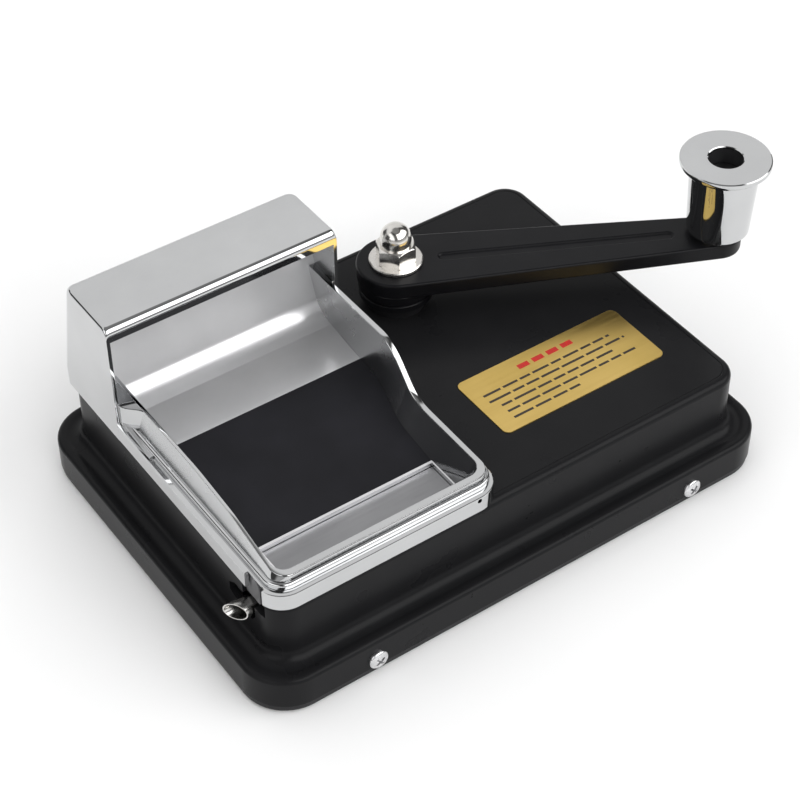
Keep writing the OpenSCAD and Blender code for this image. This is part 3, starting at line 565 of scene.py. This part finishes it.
def make_hopper_walls():
    """Skirt, ledge, beaded rim and the side walls of the hopper as one skin."""
    rings = [
        wall_ring(0.25, 0.25, 0.25, 9.2, DECK_Z + 0.02),
        wall_ring(0, 0, 0, 9.4, DECK_Z + 0.25),
        wall_ring(0, 0, 0, 9.4, 46.1),
        wall_ring(0.1, 0.1, 0.08, 9.3, 46.4),
        wall_ring(0.4, 0.4, 0.25, 9.1, 46.55),
        wall_ring(2.0, 2.05, 1.0, 7.5, LEDGE_Z),
        wall_ring(2.1, 2.15, 1.05, 7.4, 46.45),
        wall_ring(2.27, 2.32, 1.14, 7.3, 46.45),
        wall_ring(2.3, 2.35, 1.16, 7.2, 46.7),
    ]
    for angle in (0, 18, 36, 54, 72, 90):
        a = math.radians(angle)
        turn = BEAD_R * (1 - math.cos(a))
        z = BEAD_TOP_Z - BEAD_R + BEAD_R * math.sin(a)
        rings.append(wall_ring(2.3 + turn, 2.35 + turn, 1.16 + 0.62 * turn, 7.2 - turn, z))
    rings += [
        wall_ring(3.45, 3.55, 1.9, 6.1, BEAD_TOP_Z - CREASE * 0.4),
        wall_ring(3.6, 3.7, 2.0, 6.0, BEAD_TOP_Z - CREASE * 2),
        wall_ring(3.9, 3.85, 2.15, 5.8, BEAD_TOP_Z - CREASE * 2),
        wall_ring(3.95, 3.9, 2.2, 5.8, BEAD_TOP_Z),
        wall_ring(5.0, 3.95, 2.22, 5.8, below_rail(0.5)),
        wall_ring(5.06, 4.05, 2.27, 5.75, below_rail(0.27)),
        wall_ring(5.2, 4.2, 2.4, 5.65, below_rail(0.08)),
        wall_ring(5.4, 4.45, 2.6, 5.5, rail_height),
        wall_ring(6.0, 6.2, 3.85, 5.2, rail_height),
        wall_ring(6.2, 6.5, 4.1, 5.1, below_rail(0.07)),
        wall_ring(6.33, 6.65, 4.23, 5.0, below_rail(0.22)),
        wall_ring(6.4, 6.7, 4.3, 5.0, below_rail(0.5)),
        wall_ring(8.1, 7.5, 4.5, 5.0, above_floor(0.35), lean_in(RIGHT_LEAN)),
        wall_ring(8.2, 7.6, 4.6, 5.0, above_floor(-0.4), lean_in(RIGHT_LEAN)),
    ]
    walls = loft("hopper_walls", rings, ring_closed=False, caps=False, loop=True)
    bm = bmesh.new()
    bm.from_mesh(walls.data)
    bmesh.ops.holes_fill(bm, edges=[e for e in bm.edges if e.is_boundary], sides=0)
    bmesh.ops.recalc_face_normals(bm, faces=bm.faces)
    bm.to_mesh(walls.data)
    bm.free()
    x0, bottom = HOPPER_LOW.x, DECK_Z - 1
    pocket_y1 = box_mm("clamp_finger")[1].y + 0.6
    notch = slab("notch", (x0 - 1, NOTCH_Y0, bottom), (x0 + 1.5, NOTCH_Y1, NOTCH_TOP_Z))
    pocket = slab("pocket", (x0 + 1.4, NOTCH_Y0, bottom), (x0 + 4, pocket_y1, NOTCH_TOP_Z - 1))
    pin = [(0.01, -3), (PIN_HOLE_R, -3), (PIN_HOLE_R, 3), (0.01, 3)]
    pin_hole = lathe("pin_hole", pin, (0, 0), 32)
    place = Matrix.Translation(Vector((PIN_HOLE_X, HOPPER_LOW.y, DECK_Z + PIN_HOLE_LIFT)) * MM)
    pin_hole.data.transform(place @ Matrix.Rotation(math.radians(90), 4, "X"))
    cut(walls, notch, pocket, pin_hole)
    shade(walls, 28)
    dress(walls, "chrome_hopper", "base", "hopper_shell")
    low_z, low_y = (BEAD_TOP_Z + 0.1) * MM, (HOPPER_LOW.y + 14) * MM
    soften_faces(walls, lambda face: (face.normal.x < -0.7 and face.center.z > low_z
                                      and face.center.y > low_y))


HOOD_EDGE = 3.5
HOOD_TOP_Y = 54.0
HOOD_CORNER = 3.5
HOOD_BEVEL = 1.4
HOOD_WALL = 1.3
HOOD_SLOPE_Z = 47.6
LIP_R = 3.0
LIP_LOW_Z = 83.2


def round_off(inset, radius):
    """How far a round corner falls back at some inset from the side."""
    if inset >= radius:
        return 0.0
    return radius - math.sqrt(radius ** 2 - (radius - inset) ** 2)


def hood_section(x, inset):
    """The hood's side outline at x, where inset is the distance from the nearer side."""
    back = round_off(inset, HOOD_CORNER)
    top = HOPPER_HIGH.z - round_off(inset, HOOD_BEVEL)
    y1 = HOPPER_HIGH.y - back
    outline = [(HOOD_Y0, DECK_Z + 0.02), (HOOD_Y0, 60)]
    outline += arc(HOOD_Y0 + LIP_R, top - LIP_R, LIP_R, 180, 90, 8)
    outline += arc(HOOD_TOP_Y - back, top - HOOD_EDGE, HOOD_EDGE, 90, 12, 10)
    outline += [(y1, HOOD_SLOPE_Z), (y1, DECK_Z + 0.02)]
    return [(x, y, z) for y, z in outline]


def make_hood():
    """The tall hood: a thin chrome shell, open at the front under a rolled lip."""
    x0, x1 = HOPPER_LOW.x - 0.02, HOPPER_HIGH.x - 0.3
    insets = [0, 0.05, 0.16, 0.32, 0.52, 0.78, 1.06, 1.4, 1.9, 2.4, 2.9, 3.5]
    stations = [(x0 + t, t) for t in insets] + [(x1 - t, t) for t in reversed(insets)]
    hood = loft("hood", [hood_section(x, t) for x, t in stations])
    top = HOPPER_HIGH.z - HOOD_WALL
    y1 = HOPPER_HIGH.y - HOOD_WALL
    edge = HOOD_EDGE - HOOD_WALL
    room = [(HOOD_Y0 - 9, DECK_Z + 1.5), (HOOD_Y0 - 9, LIP_LOW_Z)]
    room += [(HOOD_Y0 + 1.6, LIP_LOW_Z), (HOOD_Y0 + 2, LIP_LOW_Z + 0.5)]
    room += [(HOOD_Y0 + 2, top - 1.2), (HOOD_Y0 + 3.2, top)]
    room += arc(HOOD_TOP_Y, top - edge, edge, 90, 12, 8)
    room += [(y1, HOOD_SLOPE_Z), (y1, DECK_Z + 1.5)]
    cut(hood, prism_x("room", room, x0 + HOOD_WALL, x1 - HOOD_WALL))
    soften(hood, 0.35, 3, 50)
    shade(hood, 30)
    dress(hood, "chrome_hopper", "base", "hopper_shell")
    middle = (x0 + x1) / 2 * MM
    soften_faces(hood, lambda face: face.normal.x < -0.8 and face.center.x > middle)


def liner_curve(steps=96):
    """The back sheet from under the lip to the fold, as (y, z): straight above, hollow below."""
    (y0, z0), (y1, z1) = (HOOD_Y0 + 19, 82.5), (HOOD_Y0 - 1, 49.2)
    steep, shallow, bend_start, bend_end = 72, 22, 0.72, 0.95
    points = [(0.0, 0.0)]
    for i in range(steps):
        bend = min(1.0, max(0.0, ((i + 0.5) / steps - bend_start) / (bend_end - bend_start)))
        a = math.radians(steep + (shallow - steep) * bend)
        points.append((points[-1][0] - math.cos(a), points[-1][1] - math.sin(a)))
    wide, tall = (y1 - y0) / points[-1][0], (z1 - z0) / points[-1][1]
    return [(y0 + y * wide, z0 + z * tall) for y, z in points]


def make_liner():
    """Polished sheet behind the mouth, curved at the back and flat down to the tray."""
    low = box_mm("hopper_liner")[0]
    front = liner_curve() + [(low.y + 9, 48.2), (low.y, low.z + 1)]
    behind = [(y + 0.5, z - 0.8) for y, z in reversed(front)]
    sheet = prism_x("back_sheet", front + behind, HOPPER_LOW.x + 1.2, HOPPER_HIGH.x - 1.5)
    shade(sheet, 20)
    dress(sheet, "chrome_liner", "base", "hopper_liner")


FILL_Z = 43
FLARE, FLARE_SLOPE = 12, 0.75


def make_wall_fill(side, points, edge, turn, reach, crest, inner, ys):
    """A side wall filled out to the hood's own side. From edge, turn points into the hopper; reach,
    crest and inner are the insets of the outer face inside the hood, the top line and the inner face."""
    rings = []
    for y in ys:
        z = rail(points, y) - 0.06
        outer = reach + (crest - 0.2 - reach) * (1 - smooth_step((y - HOOD_Y0 + FLARE) / FLARE))
        shoulder = z - FLARE_SLOPE * (crest - outer)
        section = ((outer, FILL_Z), (outer, shoulder), (crest, z), (inner, z), (inner, FILL_Z))
        rings.append([(edge + turn * inset, y, height) for inset, height in section])
    fill = loft(f"hood_fill_{side}", rings)
    soften(fill, 0.3, 3)
    shade(fill)
    dress(fill, "chrome_hopper", "base", "hopper_shell")


def make_hood_fills():
    """Both side walls filled out inside the hood, the left one flaring out just before it."""
    inside = [HOOD_Y0 + 0.6, HOOD_Y0 + 7, HOOD_Y0 + 13, WALL_END_Y]
    flare = [HOOD_Y0 - FLARE + FLARE / 10 * i for i in range(10)]
    make_wall_fill("left", LEFT_RAIL, HOPPER_LOW.x, 1, 1.0, 5.3, 6.2, flare + inside)
    make_wall_fill("right", RIGHT_RAIL, HOPPER_HIGH.x, -1, 1.2, 1.4, 2.6, inside)


# crank -----------------------------------------------------------------------------

HUB_R, TIP_R, ARM_EDGE = 14.2, 9.0, 0.9
GROOVE_X0, GROOVE_X1 = 17.0, 98.5


def along_arm(points, z):
    """Points given along and across the arm from the shaft, as a level ring."""
    c, s = math.cos(ARM_ANGLE), math.sin(ARM_ANGLE)
    return [(SHAFT.x + x * c - y * s, SHAFT.y + x * s + y * c, z) for x, y in points]


def arm_ring(inset, z):
    """The arm's outline at an inset: two round ends and their tangents."""
    half = 90 - math.degrees(math.asin((HUB_R - TIP_R) / ARM_LENGTH))
    tip = arc(ARM_LENGTH, 0, TIP_R - inset, -half, half, 28)
    hub = arc(0, 0, HUB_R - inset, half, 360 - half, 40)
    return along_arm(tip + hub, z)


def groove_ring(half_width, z):
    """A slot outline along the arm."""
    far = arc(GROOVE_X1, 0, half_width, -90, 90, 10)
    near = arc(GROOVE_X0, 0, half_width, 90, 270, 10)
    return along_arm(far + near, z)


def make_arm():
    """The flat crank arm with rounded edges and a long shallow groove."""
    z0, z1 = ARM_LOW.z, ARM_HIGH.z
    under_edge = ((0.9, 0.0), (0.45, 0.12), (0.12, 0.45), (0.0, 0.9))
    rings = [arm_ring(inset, z0 + z) for inset, z in under_edge]
    rings += [arm_ring(ARM_EDGE - ARM_EDGE * math.cos(a), z1 - ARM_EDGE + ARM_EDGE * math.sin(a))
              for a in (math.radians(k) for k in (0, 22, 45, 68, 90))]
    arm = loft("arm", rings)
    groove = ((0.9, -0.8), (1.4, -0.66), (1.75, -0.34), (2.05, -0.08), (2.4, 0.0), (3.0, 0.4))
    cut(arm, loft("groove", [groove_ring(half_width, z1 + z) for half_width, z in groove]))
    shade(arm, 30)
    dress(arm, "black_arm", "crank", "crank_arm")


def make_hub():
    """Collar under the arm, the neck that it turns on and the washer over the arm."""
    z_arm = ARM_LOW.z
    neck = box_mm("upper_bush")[1].z
    bore = 6.1
    collar = [(bore, neck + 0.3), (12.9, neck + 0.3), (13.4, neck + 0.7), (13.4, neck + 2.9),
              (13.1, neck + 3.2), (12.7, neck + 3.35), (12.7, neck + 3.75), (13.2, neck + 3.9),
              (13.6, neck + 4.3), (13.6, z_arm - 0.3), (13.4, z_arm), (bore, z_arm)]
    dress(shade(lathe("hub_collar", collar, SHAFT)), "black_collar", "crank", "boss_collar")
    bush = [(bore, DECK_Z - 4), (7.9, DECK_Z - 4), (7.9, DECK_Z), (10.5, DECK_Z),
            (10.5, neck - 0.5), (10.0, neck), (bore, neck)]
    dress(shade(lathe("neck_bush", bush, SHAFT)), "black_bush", "base", "upper_bush")
    low, high = box_mm("crank_washer")
    r = (high.x - low.x) / 2
    ring = [(4.1, low.z), (r - 0.3, low.z), (r, low.z + 0.25)]
    ring += [(r, high.z - 0.3), (r - 0.35, high.z), (4.1, high.z)]
    dress(shade(lathe("hub_washer", ring, SHAFT)), "washer_steel", "crank", "crank_washer")


def make_nut():
    """Dome nut: a hexagon with turned-off corners, a short neck and a dome."""
    low, high = box_mm("acorn_nut")
    z0, z1 = low.z, high.z
    across_flats, hex_h, dome = 13.0, 6.5, 5.6
    corner = across_flats / 2 / math.cos(math.radians(30))
    sides = []
    for k in range(6):
        a = math.radians(5 + 60 * k)
        sides.append((SHAFT.x + corner * math.cos(a), SHAFT.y + corner * math.sin(a)))
    nut = loft("dome_nut", [[(x, y, z) for x, y in sides] for z in (z0, z0 + hex_h)])
    hex_top = z0 + hex_h + 0.05
    chamfer = [(0.01, z0 - 1), (corner - 0.4, z0 - 1), (corner - 0.4, z0), (corner + 0.4, z0 + 0.7),
               (corner + 0.4, z0 + hex_h - 1.1), (across_flats / 2 - 0.3, hex_top), (0.01, hex_top)]
    cut(nut, lathe("chamfer", chamfer, SHAFT, 96), operation="INTERSECT")
    cap = [(0.01, z0 + 2), (dome, z0 + 2), (dome, z0 + hex_h), (dome, z1 - dome)]
    cap += [(dome * math.cos(a), z1 - dome + dome * math.sin(a))
            for a in (math.radians(k) for k in range(6, 90, 6))]
    cap += [(0.01, z1)]
    cut(nut, lathe("cap", cap, SHAFT, 96), operation="UNION")
    soften(nut, 0.18, 2, 25)
    shade(nut, 28)
    dress(nut, "nut_steel", "crank", "acorn_nut")


def make_knob():
    """Chrome spool: waisted body, stepped cone and a wide thin flange with a deep bore."""
    low, high = box_mm("knob")
    z0, z1 = low.z, high.z
    r = (high.x - low.x) / 2
    bore, bore_z, pin = 6.1, z1 - 10.6, 4.08
    flange_z = z1 - 2.2
    foot_r, foot_top, body_top = 11.27, z0 + 0.9, flange_z - 2.6
    outline = [(pin, z0), (10.5, z0), (10.95, z0 + 0.15), (11.2, z0 + 0.5), (foot_r, foot_top)]
    outline += [(foot_r + 1.18 * i / 10, foot_top + (body_top - foot_top) * i / 10) for i in range(1, 11)]
    outline += [(12.6, body_top + 0.15), (13.3, body_top + 0.3), (13.55, body_top + 0.55)]
    outline += [(13.65, body_top + 1.1), (14.2, body_top + 1.7), (15.4, flange_z - 0.2), (15.9, flange_z)]
    outline += [(r - 0.1, flange_z + 0.35), (r, flange_z + 0.8), (r, z1 - 0.7)]
    outline += [(r - 0.15, z1 - 0.3), (r - 0.5, z1 - 0.05), (r - 0.9, z1)]
    outline += [(bore + 0.9, z1), (bore + 0.45, z1 - 0.1), (bore + 0.12, z1 - 0.4), (bore, z1 - 0.9)]
    outline += [(bore, bore_z), (pin, bore_z)]
    knob = shade(lathe("spool_knob", outline, KNOB, 160), 24)
    dress(knob, "chrome_knob", "knob", "knob")
    # painted shade: the walls of the bore and of the pin hole below it get the near-black dark_plate material
    # instead of chrome, to stand for the shade inside the hole
    knob.data.materials.append(MATERIALS["dark_plate"])
    for face in knob.data.polygons:
        middle = face.center / MM
        if (middle - KNOB).to_2d().length < bore + 0.05 and middle.z < z1 - 1:
            face.material_index = 1


# nozzle, clamp and label -----------------------------------------------------------

def make_nozzle():
    """Thin steel tube, its mouth cut at a slant and longest towards the back."""
    low, high = box_mm("nozzle")
    y, z = (low.y + high.y) / 2, (low.z + high.z) / 2
    outer, wall = (high.z - low.z) / 2, 0.34
    slant = math.tan(math.radians(36))
    steps = 72
    rings = []
    for r, at_mouth in ((outer - wall, False), (outer, False), (outer, True), (outer - wall, True)):
        ring = []
        for k in range(steps):
            a = math.tau * k / steps
            dy = r * math.cos(a)
            x = low.x + (outer - dy) * slant if at_mouth else high.x
            ring.append((x, y + dy, z + r * math.sin(a)))
        rings.append(ring)
    tube = shade(loft("filling_nozzle", rings, loop=True), 40)
    dress(tube, "nozzle_steel", "base", "nozzle")


def make_finger():
    """Clamp finger: a flat tongue with a round top, and the foot over its spring."""
    low, high = box_mm("clamp_finger")
    z0, z1 = low.z, high.z
    y0, x1 = high.y - FINGER_WIDTH, low.x + FINGER_THICK
    half = FINGER_WIDTH / 2
    outline = [(y0, z0), (high.y, z0)] + arc(y0 + half, z1 - half, half, 0, 180, 20)
    finger = prism_x("tube_clamp", outline, low.x, x1)
    soften(finger, 0.4, 3)
    dress(shade(finger), "dark_clamp", "clamp", "clamp_finger")
    foot = slab("tube_clamp_foot", (x1 - 0.4, low.y, z0), (high.x, y0 + 2.5, z0 + 1.6))
    soften(foot, 0.2, 2)
    dress(shade(foot), "dark_clamp", "clamp", "clamp_finger")


def make_label():
    """Gold label plate with rounded corners and plain printed bars."""
    low, high = box_mm("label_plate")
    z0, z1 = low.z, high.z
    edge = ((0.0, z0), (0.0, z1 - 0.15), (0.05, z1 - 0.05), (0.15, z1))
    plate = loft("label", [round_rect(low.x + i, low.y + i, high.x - i, high.y - i, 2.5 - i, z, 8)
                           for i, z in edge])
    dress(shade(plate), "gold_label", "base", "label_plate")
    black = ink_material("ink_black", (0.03, 0.022, 0.015))
    red = ink_material("ink_red", (0.5, 0.015, 0.01))
    heading_y = high.y - 5.4
    centre = (low.x + high.x) / 2
    heading = [(centre - 11.6 + 6.3 * k, heading_y, 4.6, 2.2) for k in range(4)]
    add_print("label_heading", heading, z1, red)
    bars = []
    left, right, gap = low.x + 4.5, high.x - 6, 1.1
    rows = ((0, 4), (0, 0), (2.6, 8), (2.6, 0), (2.6, 28))
    for row, (indent, short) in enumerate(rows):
        y = heading_y - 5.0 - 3.5 * row
        x, end = left + indent, right - short
        while x < end:
            width = min(random.uniform(4, 10), end - x)
            bars.append((x, y, width, 1.0))
            x += width + gap
    add_print("label_lines", bars, z1, black)


def add_print(name, bars, z, ink, thick=0.012):
    """Plain printed bars, given as left end, middle height, width and depth, as thin raised ink."""
    verts, faces = [], []
    quads = ((0, 3, 2, 1), (4, 5, 6, 7), (0, 1, 5, 4), (1, 2, 6, 5), (2, 3, 7, 6), (3, 0, 4, 7))
    for x, y, w, h in bars:
        low, high, base = y - h / 2, y + h / 2, len(verts)
        for vz in (z, z + thick):
            verts += [(x, low, vz), (x + w, low, vz), (x + w, high, vz), (x, high, vz)]
        faces += [tuple(base + i for i in quad) for quad in quads]
    obj = new_object(name, verts, faces)
    obj.data.materials.append(ink)
    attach(obj, "base")


# CAD nodes that stay ---------------------------------------------------------------

def dress_cad():
    """Every CAD node gets its slot's material; the ones that stay are seen with it."""
    slots = {row["node"]: row["material_slot"] for row in frame["record"]["subparts"]}
    for node, obj in frame["nodes"].items():
        obj.data.materials.clear()
        obj.data.materials.append(MATERIALS[slots[node]])


# stage and light -------------------------------------------------------------------

def make_floor():
    """A pale, plain floor under the object."""
    size = 1600
    corners = [(-size, -size, 0), (size, -size, 0), (size, size, 0), (-size, size, 0)]
    floor = new_object("floor", corners, [(0, 1, 2, 3)])
    material, tree, shader, place = new_material("floor")
    cloud = noise(tree, place, 4, 2)
    tree.links.new(tint(tree, cloud, (0.86, 0.86, 0.86), (0.88, 0.88, 0.88)), shader.inputs["Base Color"])
    shader.inputs["Roughness"].default_value = 0.6
    floor.data.materials.append(material)


def make_world():
    """A dim room with soft boxes, each a range of directions: a light grey one high behind the object,
    a far one below it, a bright one high in front, one at the left, and a pale horizon in front."""
    world = bpy.data.worlds.new("studio")
    world.use_nodes = True
    tree = world.node_tree
    background = tree.nodes["Background"]
    split = tree.nodes.new("ShaderNodeSeparateXYZ")
    tree.links.new(tree.nodes.new("ShaderNodeTexCoord").outputs["Generated"], split.inputs["Vector"])

    def step(axis, start, end, height=1.0):
        """A smooth step of one component of the direction, from 0 at start to height at end."""
        node = tree.nodes.new("ShaderNodeMapRange")
        node.interpolation_type = "SMOOTHSTEP"
        rising = end > start
        node.inputs["From Min"].default_value = min(start, end)
        node.inputs["From Max"].default_value = max(start, end)
        node.inputs["To Min"].default_value = 0.0 if rising else height
        node.inputs["To Max"].default_value = height if rising else 0.0
        tree.links.new(split.outputs[axis], node.inputs["Value"])
        return node.outputs["Result"]

    def combine(operation, values):
        """Multiplies or adds up a list of values."""
        total = values[0]
        for value in values[1:]:
            node = tree.nodes.new("ShaderNodeMath")
            node.operation = operation
            tree.links.new(total, node.inputs[0])
            tree.links.new(value, node.inputs[1])
            total = node.outputs[0]
        return total

    boxes = [
        [step("Z", 0.42, 0.55, 0.85), step("Z", 0.95, 0.88), step("Y", 0.1, 0.3)],
        [step("Z", 0.25, 0.36, 3.2), step("Z", 0.88, 0.80), step("Y", -0.1, -0.25), step("X", -0.32, -0.2)],
        [step("X", -0.58, -0.68, 1.6), step("Z", 0.2, 0.3), step("Y", 0.25, 0.1)],
        [step("Z", 0.2, 0.1, 0.42), step("Y", -0.2, -0.5)],
        [step("Z", 0.55, 0.42, 0.8), step("Y", 0.35, 0.5), step("X", -0.35, -0.2)],
    ]
    above = step("Z", 0.88, 0.93, 0.2)
    room = step("Z", -1.0, -0.9, 0.06)
    total = combine("ADD", [combine("MULTIPLY", box) for box in boxes] + [above, room])
    tree.links.new(total, background.inputs["Strength"])
    background.inputs["Color"].default_value = (1, 1, 1, 1)
    bpy.context.scene.world = world
    bpy.context.scene.view_settings.view_transform = "Standard"


OVERHEAD_PLACE = (-200, 300, 2500)
OVERHEAD_SIZE, OVERHEAD_POWER = 3000, 25


def make_lights():
    """The room, and a wide overhead light that brightens the floor but isn't mirrored in the chrome."""
    make_world()
    data = bpy.data.lights.new("overhead", "AREA")
    data.shape = "SQUARE"
    data.size = OVERHEAD_SIZE * MM
    data.energy = OVERHEAD_POWER
    light = bpy.data.objects.new("overhead", data)
    bpy.context.scene.collection.objects.link(light)
    light.location = Vector(OVERHEAD_PLACE) * MM
    light.rotation_euler = (-Vector(OVERHEAD_PLACE)).to_track_quat("-Z", "Y").to_euler()
    light.visible_glossy = False


make_base()
make_flange_screws()
make_hopper_walls()
make_hood()
make_hood_fills()
make_liner()
make_arm()
make_hub()
make_nut()
make_knob()
make_nozzle()
make_finger()
make_label()
dress_cad()
make_floor()
make_lights()
